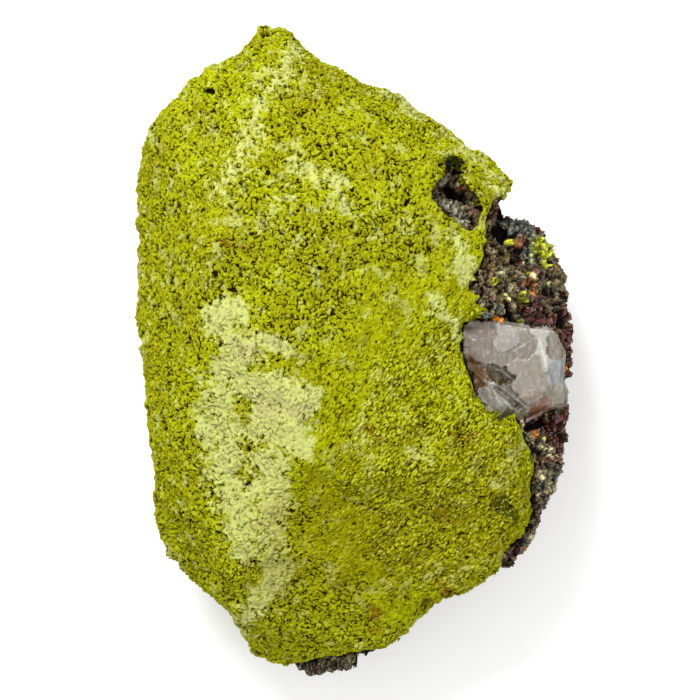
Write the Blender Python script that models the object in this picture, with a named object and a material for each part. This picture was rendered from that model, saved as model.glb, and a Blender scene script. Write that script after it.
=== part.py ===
"""A hand specimen of nontronite: a yellow-green crust over dark garnet rock, with a grain of quartz.

Metres, +Z up. The specimen lies on its broken back, and one looks down on it: +X is its right side
and +Y its tip. The origin is on the surface it lies on, under the middle of its outline.
"""

import math

import bmesh
import bpy
from mathutils import Vector, noise
from mathutils.bvhtree import BVHTree

MM = 0.001

# Driving dimensions, in millimetres
TOP = 42.0  # of the blank that the broken faces are cut from
MIDDLE_HEIGHT = 21.0  # taken for the height of the front beside the specimen
CLEAR = 8.0  # by which the cutters reach past the blank's top
BELOW = 2.0  # spare rock under the resting face, before that is cut flat
CRUST = 2.4  # thickness of the nontronite layer
GAP = 0.3  # between the crust, the rock and the grain
MERGE = 0.004  # corners closer than this are one
ON_CUT = 0.0001  # corners closer than this to a cut lie on it
ROUNDING_LOSS = 0.3  # that the outline loses where its edges are rounded
GRAIN_FOOT = 13.0  # height of the grain's buried lower face
HOLE_FOOT = 20.0  # height down to which the hole in the crust goes
FINE_STEP = 1.15  # spacing of the mesh that the lumps are raised on
CORE_STEP = 2.6  # the same, on the surface under the crust
OUTER_FACES = 4200  # triangles of the whole outer surface
CORE_FACES = 1150  # triangles of the whole surface under the crust
SMOOTHING = 4  # passes that round the broken edges
SHARP = 30.0  # angle in degrees from which an edge is shaded sharp

# The outline as one looks down on the specimen, clockwise from the tip
OUTLINE = (
    (-9.7, 42.2), (-8.4, 41.2), (-6.6, 39.1), (-2.7, 37.2), (0.0, 34.6), (5.9, 32.9), (9.0, 31.3),
    (12.2, 29.2), (14.9, 27.8), (17.6, 26.0), (20.0, 23.6), (20.7, 21.6), (20.3, 19.7), (19.2, 18.6),
    (21.6, 17.0), (23.8, 15.2), (25.2, 13.2), (26.2, 11.4), (28.5, 9.2), (29.3, 6.4), (28.9, 3.2),
    (29.1, 0.6), (28.9, -4.0), (28.6, -9.2), (28.1, -13.1), (27.1, -17.0), (25.4, -20.2),
    (23.3, -24.0), (19.4, -27.6), (15.4, -31.0), (11.4, -31.9), (9.3, -33.8), (6.1, -37.5),
    (3.8, -39.5), (0.3, -40.6), (-2.5, -42.0), (-5.8, -42.4), (-7.7, -41.1), (-12.3, -39.7),
    (-13.6, -37.1), (-14.5, -34.6), (-17.3, -32.1), (-22.6, -28.6), (-24.9, -26.0), (-25.5, -22.2),
    (-25.8, -18.3), (-24.8, -15.7), (-24.9, -13.7), (-25.8, -10.5), (-26.2, -6.6), (-26.5, 2.5),
    (-27.3, 5.4), (-26.8, 7.7), (-28.5, 16.3), (-29.9, 19.0), (-28.5, 21.2), (-26.7, 24.0),
    (-26.8, 26.6), (-25.6, 28.6), (-20.2, 34.1), (-18.0, 36.7), (-15.8, 36.8), (-12.3, 39.5),
    (-11.5, 41.5),
)

# Broken faces: a point on each, the compass angle it falls towards (0 is +X, 90 is +Y), and how
# steeply. Past 90 degrees a face looks down.
FACES = (
    ("main face", (-17.6, 2.0, 37.6), -8, 15),
    ("upper face", (0.0, 18.0, 33.6), 75, 17),
    ("lower face", (5.0, -14.0, 31.2), -68, 31),
    ("left flank", (-17.9, 0.0, 37.4), 177, 64),
    ("upper left shoulder", (-13.6, 26.3, 32.2), 152, 46),
    ("lower left bevel", (-14.0, -24.0, 29.4), 208, 24),
    ("lower left flank", (-19.2, -22.0, 27.4), 205, 60),
    ("bottom end", (-3.0, -38.0, 18.6), 268, 58),
    ("tip", (-9.0, 36.5, 28.5), 100, 60),
    ("upper right edge", (3.8, 28.6, 29.8), 57, 68),
    ("right side", (18.5, 8.0, 28.3), 2, 55),
    ("lower right side", (22.5, -17.0, 25.4), -35, 60),
    ("under the left", (-28.8, 5.0, 12.5), 178, 126),
    ("under the lower left", (-24.0, -26.0, 13.0), 215, 125),
    ("under the bottom", (-2.0, -42.0, 10.5), 268, 130),
    ("under the right", (28.6, 4.0, 13.0), 0, 125),
    ("under the lower right", (22.0, -26.5, 14.0), -42, 125),
    ("under the upper right", (7.0, 32.5, 15.0), 57, 118),
    ("under the upper left", (-24.0, 30.5, 15.0), 140, 122),
    ("under the tip", (-9.5, 42.0, 15.0), 98, 125),
)

# Where the crust ends against bare rock as one looks down: along the right side, and in a nick at
# the bottom tip. Below that line the crust's edge leans back under it.
RIGHT_EDGE = (
    (23.0, 19.9), (20.3, 19.7), (19.0, 19.0), (18.7, 17.9), (17.9, 16.9), (18.1, 14.9), (17.4, 13.8),
    (17.8, 11.9), (16.7, 9.6), (15.4, 8.5), (16.2, 6.8), (17.4, 5.1), (17.6, 3.2), (14.8, 3.0),
    (14.8, -0.1), (15.4, -2.3), (16.4, -4.9), (17.7, -7.1), (18.9, -8.5), (21.6, -8.6), (22.4, -10.7),
    (23.5, -12.8), (24.1, -14.6), (23.5, -18.3), (23.9, -21.1), (22.7, -24.1), (20.6, -27.0),
    (25.0, -32.0),
)
RIGHT_LEANS = [(-9.0, 5.0)] * len(RIGHT_EDGE)
NICK = ((3.4, -46.0), (3.2, -39.2), (0.5, -39.4), (-1.0, -40.2), (-5.6, -40.6), (-6.2, -46.0))
NICK_LEANS = [(6.0, 0.0), (4.5, 3.0), (1.0, 7.0), (-1.0, 5.0), (-3.0, 2.0), (-6.5, 0.0)]
OUTSIDE = ((-34.0, -46.0), (-34.0, 48.0), (26.0, 48.0))  # well clear of the outline
CRUST_FOOT = 8.0  # mean height at which the crust ends round the sides
FOOT_WAVE, FOOT_WAVELENGTH = 2.6, 7.0  # how far that end wanders up and down, and how often
FOOT_EDGE = 6.0  # length from which an edge across that end is halved
FOOT_ROUNDS = 4  # how often that is done
FOOT_BAND = 1.0  # corners less than this above that end belong to it
EDGE_STEP = 0.6  # height by which the crust stands over the bare rock beside it
EDGE_BLEND = 1.0  # width over which the crust's lumps turn into those of the rock

# The hole in the crust near its upper right corner
HOLE = (
    (14.2, 24.9), (15.2, 24.8), (15.1, 24.2), (14.4, 23.5), (14.2, 22.3), (15.0, 21.0), (16.3, 19.6),
    (16.8, 18.0), (16.1, 16.2), (15.6, 15.1), (14.5, 15.9), (13.1, 17.0), (11.5, 18.3), (10.1, 19.4),
    (10.9, 21.1), (12.2, 22.8), (12.0, 24.4), (13.3, 24.9),
)

# The quartz grain, as one looks down on it, and the breaks across its top
GRAIN = (
    (14.9, 3.4), (19.9, 3.4), (23.0, 2.9), (26.2, 2.6), (26.7, 1.5), (27.6, -0.3), (27.3, -3.9),
    (28.1, -5.7), (28.0, -7.1), (25.7, -7.3), (22.6, -8.9), (21.0, -8.2), (19.5, -8.9), (18.7, -8.4),
    (17.7, -7.0), (16.7, -5.7), (16.1, -3.8), (15.5, -2.2), (14.9, -0.2),
)
GRAIN_BREAKS = (
    ("top", (15.5, 2.5, 28.6), -28, 19),
    ("lower left lobe", (19.5, -4.6, 27.4), 222, 33),
    ("right side", (26.2, -1.0, 24.2), 0, 58),
    ("bottom edge", (24.0, -6.6, 24.0), -58, 44),
    ("top edge", (22.0, 2.6, 26.6), 84, 40),
)

# Pits in the bare rock: centre, half its width and half its height
ROCK_PITS = (
    ((22.1, 19.4, 20.0), 1.9, 9.0),
    ((14.0, 20.3, 27.0), 2.3, 3.4),
    ((19.6, 15.2, 27.4), 2.1, 4.4),
    ((19.5, 18.2, 25.8), 1.3, 3.4),
    ((21.4, 4.6, 25.0), 1.6, 3.0),
    ((20.2, 6.0, 26.6), 1.2, 2.2),
    ((25.6, -19.6, 17.5), 1.5, 2.4),
)
PIT_LUMP = 0.25  # how far a pit's wall bulges, as a share of its width
PIT_LUMPS = 1.7  # about how many bulges there are across it

# Broad lumps and hollows of the front, as one looks down: centre, radius and height
LUMPS = (
    ("nub on the spine", (-17.5, 14.0), 2.6, 1.1),
    ("hollow beside the nub", (-14.4, 9.8), 3.6, -0.9),
    ("swell by the right edge", (13.2, 9.0), 5.0, 0.8),
    ("hollow below the tip", (-4.0, 30.5), 4.0, -0.6),
    ("rib on the left shoulder", (-23.0, 24.5), 3.6, 0.8),
    ("ledge at the upper left", (-18.3, 35.6), 2.6, 0.9),
    ("pale flake", (-8.6, -8.4), 5.0, 0.6),
    ("dent in the lower face", (8.0, -22.5), 5.0, -0.8),
    ("knob at the tip", (-11.2, 40.4), 1.6, 0.6),
)

# Swells all over the surface: wavelength and height, the last two only on bare rock
SWELLS = ((11.0, 0.75), (4.6, 0.42))
ROCK_KNOBS = (3.4, 1.7)
ROCK_SWELL = (6.5, 0.9)
SWELL_SHIFT = (3.1, 7.7, 1.9)  # between the patterns of two swells

# Colours of the pieces, and how rough they are
FINISHES = {
    "nontronite_crust": ((0.36, 0.37, 0.02), 0.95),
    "matrix_rock": ((0.09, 0.06, 0.03), 0.85),
    "quartz_grain": ((0.45, 0.42, 0.36), 0.25),
}


def downhill(azimuth, steepness):
    """The outward direction of a face that falls towards azimuth at steepness, both in degrees."""
    a, s = math.radians(azimuth), math.radians(steepness)
    return Vector((math.sin(s) * math.cos(a), math.sin(s) * math.sin(a), math.cos(s)))


def to_object(name, bm):
    """A new object in the scene that holds bm's mesh."""
    mesh = bpy.data.meshes.new(name)
    bm.to_mesh(mesh)
    bm.free()
    obj = bpy.data.objects.new(name, mesh)
    bpy.context.scene.collection.objects.link(obj)
    return obj


def prism(outline, low, high):
    """A bmesh of an outline in millimetres, raised from height low to height high."""
    bm = bmesh.new()
    face = bm.faces.new([bm.verts.new(Vector((x, y, low)) * MM) for x, y in outline])
    raised = bmesh.ops.extrude_face_region(bm, geom=[face])["geom"]
    tops = [v for v in raised if isinstance(v, bmesh.types.BMVert)]
    bmesh.ops.translate(bm, verts=tops, vec=(0, 0, (high - low) * MM))
    bmesh.ops.recalc_face_normals(bm, faces=bm.faces)
    return bm


def cut_off(bm, point, direction):
    """Takes away what lies on the outer side of a plane, and closes the break."""
    geometry = bm.verts[:] + bm.edges[:] + bm.faces[:]
    cut = bmesh.ops.bisect_plane(
        bm,
        geom=geometry,
        dist=ON_CUT * MM,
        plane_co=Vector(point) * MM,
        plane_no=direction,
        clear_outer=True,
    )
    rim = [e for e in cut["geom_cut"] if isinstance(e, bmesh.types.BMEdge)]
    bmesh.ops.contextual_create(bm, geom=rim)


def evaluated(obj, name):
    """A new object with obj's mesh as its modifiers leave it. The old object goes."""
    bpy.context.view_layer.update()
    mesh = bpy.data.meshes.new_from_object(obj.evaluated_get(bpy.context.evaluated_depsgraph_get()))
    bpy.data.objects.remove(obj)
    new = bpy.data.objects.new(name, mesh)
    bpy.context.scene.collection.objects.link(new)
    return new


def remesh(obj, step):
    modifier = obj.modifiers.new("even mesh", "REMESH")
    modifier.mode = "VOXEL"
    modifier.voxel_size = step * MM
    return evaluated(obj, obj.name)


def thin_out(obj, faces):
    """Merges small triangles until about that many are left, fewest where the surface is flat."""
    modifier = obj.modifiers.new("fewer faces", "DECIMATE")
    obj.data.calc_loop_triangles()
    modifier.ratio = min(1.0, faces / len(obj.data.loop_triangles))
    return evaluated(obj, obj.name)


def boolean(obj, other, operation):
    modifier = obj.modifiers.new(operation, "BOOLEAN")
    modifier.operation = operation
    modifier.object = other
    return evaluated(obj, obj.name)


def grow(outline, by):
    """The outline with each side moved outwards by a distance. It runs clockwise."""
    grown = []
    for i, corner in enumerate(outline):
        here = Vector(corner)
        arriving = (here - Vector(outline[i - 1])).normalized()
        leaving = (Vector(outline[(i + 1) % len(outline)]) - here).normalized()
        along = (arriving + leaving).normalized()
        mitre = by / max(0.6, along.dot(arriving))
        grown.append((here.x - along.y * mitre, here.y + along.x * mitre))
    return grown


def edge_distance(x, y, outline):
    """How far a point is outside an outline in millimetres, or inside it, as a negative number."""
    inside, nearest = False, math.inf
    here = Vector((x, y))
    for i, end in enumerate(outline):
        start = Vector(outline[i - 1])
        run = Vector(end) - start
        share = max(0.0, min(1.0, (here - start).dot(run) / run.length_squared))
        nearest = min(nearest, (here - start - run * share).length)
        if (start.y > y) != (end[1] > y) and x < start.x + run.x * (y - start.y) / run.y:
            inside = not inside
    return -nearest if inside else nearest


def crust_outline():
    return RIGHT_EDGE + NICK + OUTSIDE


def broken_blank():
    """The whole specimen as flat broken faces with rounded edges, on a fine even mesh."""
    bm = prism(grow(OUTLINE, ROUNDING_LOSS), -BELOW, TOP)
    for _, point, azimuth, steepness in FACES:
        cut_off(bm, point, downhill(azimuth, steepness))
    bmesh.ops.triangulate(bm, faces=bm.faces)
    blank = remesh(to_object("blank", bm), FINE_STEP)
    bm = bmesh.new()
    bm.from_mesh(blank.data)
    for _ in range(SMOOTHING):
        bmesh.ops.smooth_vert(
            bm, verts=bm.verts, factor=0.5, use_axis_x=True, use_axis_y=True, use_axis_z=True
        )
    bm.to_mesh(blank.data)
    bm.free()
    return blank


def height_at(tree, x, y):
    """How high the specimen's front is at a place, or a middling height where there is none."""
    hit = tree.ray_cast(Vector((x, y, 2 * TOP)) * MM, Vector((0, 0, -1)))[0]
    return hit.z / MM if hit else MIDDLE_HEIGHT


def swell_at(at, wave, height, seed):
    return height * noise.noise(at / wave + Vector(SWELL_SHIFT) * seed)


def raise_lumps(mesh, bare_rock):
    """Swells and hollows on the crust, and sharper ones where the rock is bare."""
    outline = crust_outline()
    normals = [v.normal.copy() for v in mesh.vertices]
    for vertex, normal in zip(mesh.vertices, normals):
        at = vertex.co / MM
        rise = sum(swell_at(at, wave, height, i + 1) for i, (wave, height) in enumerate(SWELLS))
        for _, centre, radius, height in LUMPS:
            away = (at.xy - Vector(centre)).length / radius
            rise += height * math.exp(-away * away) * max(0.0, normal.z)
        outside = edge_distance(at.x, at.y, outline)
        if at.z < CRUST_FOOT:
            outside = max(outside, CRUST_FOOT - at.z)
        if bare_rock and outside > -EDGE_BLEND:
            knobs = abs(swell_at(at, *ROCK_KNOBS, 4)) + swell_at(at, *ROCK_SWELL, 5)
            rise += min(1.0, outside / EDGE_BLEND + 1.0) * (knobs - EDGE_STEP)
        vertex.co += normal * rise * MM


def outer_surface(name, blank, bare_rock):
    """The specimen's whole outer surface, cut flat where it rests."""
    obj = bpy.data.objects.new(name, blank.data.copy())
    bpy.context.scene.collection.objects.link(obj)
    raise_lumps(obj.data, bare_rock)
    obj = thin_out(obj, OUTER_FACES)
    bm = bmesh.new()
    bm.from_mesh(obj.data)
    cut_off(bm, (0, 0, 0), Vector((0, 0, -1)))
    bmesh.ops.triangulate(bm, faces=bm.faces)
    bm.to_mesh(obj.data)
    bm.free()
    return obj


def shrink(obj, by):
    """Moves the surface inwards by a distance."""
    normals = [v.normal.copy() for v in obj.data.vertices]
    for vertex, normal in zip(obj.data.vertices, normals):
        vertex.co -= normal * by * MM


def core_surface(name, blank, depth):
    """The surface under the crust."""
    obj = bpy.data.objects.new(name, blank.data.copy())
    bpy.context.scene.collection.objects.link(obj)
    raise_lumps(obj.data, False)
    shrink(obj, CRUST)
    obj = thin_out(remesh(obj, CORE_STEP), CORE_FACES)
    shrink(obj, depth - CRUST)
    return obj


def curtain(name, spread, tree):
    """The space that the crust may fill: straight up from its edge, leaning back below that."""
    outline, foot = crust_outline(), CRUST_FOOT - spread
    bm = prism(grow(outline, spread), foot, foot + FOOT_BAND)
    bm.verts.ensure_lookup_table()
    leans = RIGHT_LEANS + NICK_LEANS + [(0.0, 0.0)] * len(OUTSIDE)
    lower, upper = bm.verts[: len(outline)], bm.verts[len(outline) :]
    lid = next(f for f in bm.faces if f.normal.z > 0.9)
    for vertex, lean in zip(lower, leans):
        vertex.co += Vector((*lean, 0.0)) * MM
    for vertex, (x, y) in zip(upper, outline):
        vertex.co.z = (height_at(tree, x, y) + EDGE_STEP) * MM
    raised = bmesh.ops.extrude_face_region(bm, geom=[lid])["geom"]
    bmesh.ops.delete(bm, geom=[lid], context="FACES_ONLY")
    for vertex in (v for v in raised if isinstance(v, bmesh.types.BMVert)):
        vertex.co.z = (TOP + CLEAR) * MM
    bmesh.ops.triangulate(bm, faces=bm.faces)
    for _ in range(FOOT_ROUNDS):
        low = [f for f in bm.faces if f.calc_center_median().z < (foot + 2 * FOOT_BAND) * MM]
        floor = [f for f in low if f.normal.z < -0.5]
        edges = {e for f in floor for e in f.edges if e.calc_length() > FOOT_EDGE * MM}
        bmesh.ops.subdivide_edges(bm, edges=list(edges), cuts=1)
        bmesh.ops.triangulate(bm, faces=bm.faces)
    for vertex in bm.verts:
        at = vertex.co / MM
        if at.z < foot + FOOT_BAND:
            spot = Vector((at.x, at.y, CRUST_FOOT)) / FOOT_WAVELENGTH
            vertex.co.z += FOOT_WAVE * noise.noise(spot) * MM
    return to_object(name, bm)


def rough_ball(name, centre, width, depth):
    """A lumpy cutter for a pit."""
    bm = bmesh.new()
    bmesh.ops.create_icosphere(bm, subdivisions=2, radius=1.0)
    for vertex in bm.verts:
        vertex.co *= 1.0 + PIT_LUMP * noise.noise(vertex.co * PIT_LUMPS + Vector(centre))
    bmesh.ops.scale(bm, verts=bm.verts, vec=Vector((width, width, depth)) * MM)
    bmesh.ops.translate(bm, verts=bm.verts, vec=Vector(centre) * MM)
    return to_object(name, bm)


def quartz_grain():
    """A blocky grain with flat breaks, its foot buried in the rock."""
    bm = prism(GRAIN, GRAIN_FOOT, TOP)
    for _, point, azimuth, steepness in GRAIN_BREAKS:
        cut_off(bm, point, downhill(azimuth, steepness))
    bmesh.ops.triangulate(bm, faces=bm.faces)
    return to_object("quartz_grain", bm)


def bodies(bm):
    """The separate bodies of a mesh, as lists of their corners, largest first."""
    left, found = set(bm.verts), []
    while left:
        body, ahead = [], [left.pop()]
        while ahead:
            corner = ahead.pop()
            body.append(corner)
            near = {edge.other_vert(corner) for edge in corner.link_edges} & left
            left -= near
            ahead.extend(near)
        found.append(body)
    return sorted(found, key=len, reverse=True)


def clean(obj):
    """Drops chips that the cuts left loose, and merges what they left a hair's breadth apart."""
    bm = bmesh.new()
    bm.from_mesh(obj.data)
    for chip in bodies(bm)[1:]:
        bmesh.ops.delete(bm, geom=chip, context="VERTS")
    bmesh.ops.remove_doubles(bm, verts=bm.verts, dist=MERGE * MM)
    bmesh.ops.dissolve_degenerate(bm, edges=bm.edges, dist=MERGE * MM)
    bmesh.ops.triangulate(bm, faces=bm.faces)
    bm.to_mesh(obj.data)
    bm.free()


def centre(pieces):
    """Puts the middle of the specimen's outline over the origin."""
    corners = [v.co for obj in pieces for v in obj.data.vertices]
    for axis in (0, 1):
        middle = (min(c[axis] for c in corners) + max(c[axis] for c in corners)) / 2
        for corner in corners:
            corner[axis] -= middle


def finish(obj):
    """Gives a piece its material and its shading."""
    colour, roughness = FINISHES[obj.name]
    material = bpy.data.materials.new(obj.name)
    material.use_nodes = True
    shader = material.node_tree.nodes["Principled BSDF"]
    shader.inputs["Base Color"].default_value = (*colour, 1.0)
    shader.inputs["Roughness"].default_value = roughness
    shader.inputs["Metallic"].default_value = 0.0
    material.diffuse_color = (*colour, 1.0)
    obj.data.materials.clear()
    obj.data.materials.append(material)
    obj.data.shade_smooth()
    obj.data.set_sharp_from_angle(angle=math.radians(SHARP))


def main():
    for obj in list(bpy.data.objects):
        bpy.data.objects.remove(obj)

    blank = broken_blank()
    front = bmesh.new()
    front.from_mesh(blank.data)
    tree = BVHTree.FromBMesh(front)
    under_crust = core_surface("under_crust", blank, CRUST)
    core = core_surface("core", blank, CRUST + GAP)
    crust_space = curtain("crust_space", 0.0, tree)
    wider_space = curtain("wider_space", GAP, tree)
    hole = to_object("hole", prism(HOLE, HOLE_FOOT, TOP + CLEAR))
    pocket = to_object("pocket", prism(grow(GRAIN, GAP), GRAIN_FOOT - GAP, TOP + CLEAR))

    crust = outer_surface("nontronite_crust", blank, False)
    crust = boolean(crust, crust_space, "INTERSECT")
    crust = boolean(crust, under_crust, "DIFFERENCE")
    crust = boolean(crust, hole, "DIFFERENCE")
    crust = boolean(crust, pocket, "DIFFERENCE")
    clean(crust)

    wider_space = boolean(wider_space, core, "DIFFERENCE")
    rock = outer_surface("matrix_rock", blank, True)
    rock = boolean(rock, wider_space, "DIFFERENCE")
    rock = boolean(rock, pocket, "DIFFERENCE")
    pits = [rough_ball(f"pit_{i}", *pit) for i, pit in enumerate(ROCK_PITS)]
    for pit in pits:
        rock = boolean(rock, pit, "DIFFERENCE")
    clean(rock)

    grain = quartz_grain()
    centre([crust, rock, grain])
    for piece in (crust, rock, grain):
        finish(piece)
    for cutter in [blank, under_crust, core, crust_space, wider_space, hole, pocket, *pits]:
        bpy.data.objects.remove(cutter)


main()
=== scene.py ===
import math
import random

import bmesh
import bpy
from mathutils import Euler, Matrix, Vector, noise
from mathutils.bvhtree import BVHTree


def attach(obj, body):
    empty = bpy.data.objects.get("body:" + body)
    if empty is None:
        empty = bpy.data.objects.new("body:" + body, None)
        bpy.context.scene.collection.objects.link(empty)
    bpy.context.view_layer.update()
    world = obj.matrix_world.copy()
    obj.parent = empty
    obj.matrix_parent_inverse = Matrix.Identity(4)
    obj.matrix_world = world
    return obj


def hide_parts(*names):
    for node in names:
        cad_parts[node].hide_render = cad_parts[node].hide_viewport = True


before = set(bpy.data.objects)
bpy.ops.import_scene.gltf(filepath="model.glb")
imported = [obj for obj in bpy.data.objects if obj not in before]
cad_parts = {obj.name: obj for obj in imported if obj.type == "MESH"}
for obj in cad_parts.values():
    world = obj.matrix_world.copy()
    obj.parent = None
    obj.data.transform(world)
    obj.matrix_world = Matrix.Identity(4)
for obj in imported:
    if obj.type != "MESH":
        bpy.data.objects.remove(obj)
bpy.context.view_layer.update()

MM = 0.001

# The camera. It hangs straight over the specimen with a long lens, so that one looks down on the
# crust and the bare rock at its right as in the photograph.
FIELD = 91.0 * MM  # width of the view at the height of the outline
OUTLINE_HEIGHT = 13.5 * MM
AIM = (-0.5 * MM, -0.1 * MM)
LENS, SENSOR = 0.400, 0.036
camera = bpy.data.objects.new("camera", bpy.data.cameras.new("camera"))
camera.data.lens = LENS / MM
camera.data.sensor_width = SENSOR / MM
camera.data.clip_start = 0.01
camera.location = (*AIM, OUTLINE_HEIGHT + FIELD * LENS / SENSOR)
bpy.context.scene.collection.objects.link(camera)
bpy.context.scene.camera = camera

# The light: a large soft box at the upper left, a weaker one opposite, and a pale room all round.
# Colours are shown as they are, without a film look.
ROOM_LIGHT = 0.82
LAMP_DISTANCE = 0.5
scene = bpy.context.scene
scene.view_settings.view_transform = "Standard"
scene.world = bpy.data.worlds.new("pale room")
scene.world.use_nodes = True
scene.world.node_tree.nodes["Background"].inputs["Color"].default_value = (1.0, 1.0, 1.0, 1.0)
scene.world.node_tree.nodes["Background"].inputs["Strength"].default_value = ROOM_LIGHT


def soft_box(name, azimuth, elevation, size, power):
    """A square lamp that faces the specimen from a compass angle (0 is +X, 90 is +Y)."""
    lamp = bpy.data.objects.new(name, bpy.data.lights.new(name, "AREA"))
    lamp.data.size = size
    lamp.data.energy = power
    a, e = math.radians(azimuth), math.radians(elevation)
    towards = Vector((math.cos(a) * math.cos(e), math.sin(a) * math.cos(e), math.sin(e)))
    lamp.location = towards * LAMP_DISTANCE
    lamp.rotation_euler = towards.to_track_quat("Z", "Y").to_euler()
    bpy.context.scene.collection.objects.link(lamp)


soft_box("key light", azimuth=115, elevation=50, size=0.2, power=2.2)
soft_box("fill light", azimuth=-50, elevation=55, size=0.4, power=0.3)


# The floor: the matt white top of a light table, which glows a little. The specimen lies on it with
# nothing round it.
FLOOR_SIDE = 3.0
FLOOR_GLOW = 0.25


def matt(name, roughness, specular=0.3):
    """A new material, and its shader."""
    material = bpy.data.materials.new(name)
    material.use_nodes = True
    shader = material.node_tree.nodes["Principled BSDF"]
    shader.inputs["Roughness"].default_value = roughness
    shader.inputs["Specular IOR Level"].default_value = specular
    return material, shader


bm = bmesh.new()
bmesh.ops.create_grid(bm, x_segments=2, y_segments=2, size=FLOOR_SIDE / 2)
floor = bpy.data.objects.new("floor", bpy.data.meshes.new("floor"))
bm.to_mesh(floor.data)
bm.free()
bpy.context.scene.collection.objects.link(floor)
table_top, shader = matt("white table top", roughness=0.9)
shader.inputs["Base Color"].default_value = (0.88, 0.88, 0.87, 1.0)
shader.inputs["Emission Color"].default_value = (1.0, 1.0, 1.0, 1.0)
shader.inputs["Emission Strength"].default_value = FLOOR_GLOW
floor.data.materials.append(table_top)


# The nontronite crust: a layer of yellow-green clay crumbs, a little over 2 mm thick, that grew over
# the rock. It is one crust, in five meshes that meet along its spine and in lines across it. Its
# crumbs are about half a millimetre across, with dark crevices and pits between them.
CRUST_STEP = 0.58 * MM
FRONT = 0.25  # crust that faces up more than this is meshed twice as finely as its sides
HIDDEN = 0.9 * MM  # crust that faces the rock closer than this is out of sight
CLOSING = 1.3  # how far each side of a joint is moved over it, as a share of its width
SPINE = (Vector((-16.0, 8.0, 0.0)) * MM, Vector((1.0, -0.168, 0.0)))
ACROSS = Vector((0.1, 1.0, 0.0))
LEFT_CUT = (Vector((0.0, -6.0, 0.0)) * MM, ACROSS)
UPPER_CUT = (Vector((0.0, 10.0, 0.0)) * MM, ACROSS)
LOWER_CUT = (Vector((0.0, -20.0, 0.0)) * MM, ACROSS)
CRUST_PIECES = {
    "crust_upper_left": [(SPINE, -1), (LEFT_CUT, 1)],
    "crust_lower_left": [(SPINE, -1), (LEFT_CUT, -1)],
    "crust_upper_right": [(SPINE, 1), (UPPER_CUT, 1)],
    "crust_middle_right": [(SPINE, 1), (UPPER_CUT, -1), (LOWER_CUT, 1)],
    "crust_lower_right": [(SPINE, 1), (LOWER_CUT, -1)],
}
CRUMB, STREAK = 0.60, 0.38  # width of a crumb, and of the narrower ones that lie in streaks
STREAK_LENGTH = 1.8
CRUMB_HEIGHT = 0.20
GRIT, SAND = 0.36, 0.19  # sizes of the bits that a crumb is made of
HUMP, LUMP = 3.8, 1.6  # widths of the swells that the crumbs lie on
CREVICE = 0.26  # depth between two crumbs that stand apart
PIT, PIT_SPACING, PIT_DEPTH = 0.13, 1.3, 0.36
NAMED_PIT_DEPTH = 0.7
STEEP = (0.2, 0.7)  # how far the crust faces up where its steep sides end and its top begins
noise.seed_set(7)  # so that borders and crystals wander in the same way each time


def joined_copy(name):
    """A mesh of one of the solids, with its loose triangles joined at their corners."""
    bm = bmesh.new()
    bm.from_mesh(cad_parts[name].data)
    bmesh.ops.remove_doubles(bm, verts=bm.verts, dist=0.002 * MM)
    return bm


def add_object(name, bm):
    mesh = bpy.data.meshes.new(name)
    bm.to_mesh(mesh)
    bm.free()
    obj = bpy.data.objects.new(name, mesh)
    bpy.context.scene.collection.objects.link(obj)
    return obj


def evenly_meshed(bm, step, rounds):
    """The same shape on an even mesh, its creases rounded."""
    obj = add_object("even", bm)
    even = obj.modifiers.new("even", "REMESH")
    even.mode = "VOXEL"
    even.voxel_size = step
    bm = bmesh.new()
    bm.from_object(obj, bpy.context.evaluated_depsgraph_get())
    bpy.data.objects.remove(obj)
    for _ in range(rounds):
        bmesh.ops.smooth_vert(
            bm, verts=bm.verts, factor=0.5, use_axis_x=True, use_axis_y=True, use_axis_z=True
        )
    bm.normal_update()
    return bm


def note_visible(bm, covers, reach):
    """Keeps on each corner the way it faces, and 1 where it shows. Shown corners close their joint."""
    facing = bm.verts.layers.float_vector.new("facing")
    shown = bm.verts.layers.float.new("shown")
    up = Vector((0.0, 0.0, 1.0))
    for v in bm.verts:
        v[facing] = v.normal
        joints = [hit[3] for hit in (tree.ray_cast(v.co, v.normal, reach) for tree in covers) if hit[0]]
        above = [tree.ray_cast(v.co + up * 0.01 * MM, up)[0] for tree in covers]
        open_above = v.normal.z > -0.1 and not any(above)
        v[shown] = 1.0 if open_above or not joints else 0.0
        if open_above and joints:
            v.co += v.normal * (CLOSING * min(joints))


def refine(bm, cuts, wanted):
    """Finer squares where both ends of an edge are wanted, by place, facing and visibility."""
    facing, shown = bm.verts.layers.float_vector["facing"], bm.verts.layers.float["shown"]
    chosen = {v for v in bm.verts if wanted(v.co / MM, v[facing], v[shown] > 0.5)}
    edges = [e for e in bm.edges if e.verts[0] in chosen and e.verts[1] in chosen]
    bmesh.ops.subdivide_edges(bm, edges=edges, cuts=cuts, use_grid_fill=True)


def cut_piece(bm, cuts):
    """The part of a closed shell on one side of each plane, closed again."""
    piece = bm.copy()
    for (point, normal), side in cuts:
        geometry = piece.verts[:] + piece.edges[:] + piece.faces[:]
        cut = bmesh.ops.bisect_plane(
            piece, geom=geometry, dist=1e-6, plane_co=point, plane_no=normal * side, clear_inner=True
        )
        rim = [e for e in cut["geom_cut"] if isinstance(e, bmesh.types.BMEdge)]
        bmesh.ops.triangle_fill(piece, use_beauty=True, use_dissolve=False, edges=rim)
        for edge in rim:
            edge.smooth = False
    bmesh.ops.recalc_face_normals(piece, faces=piece.faces)
    return piece


def within(value, low, high):
    """0 below low, 1 above high, and a smooth rise between."""
    share = max(0.0, min(1.0, (value - low) / (high - low)))
    return share * share * (3 - 2 * share)


def number_of(spot):
    """A number from 0 to 1 that belongs to a spot."""
    return 0.5 + 0.5 * noise.cell(spot * 7.9)


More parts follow.
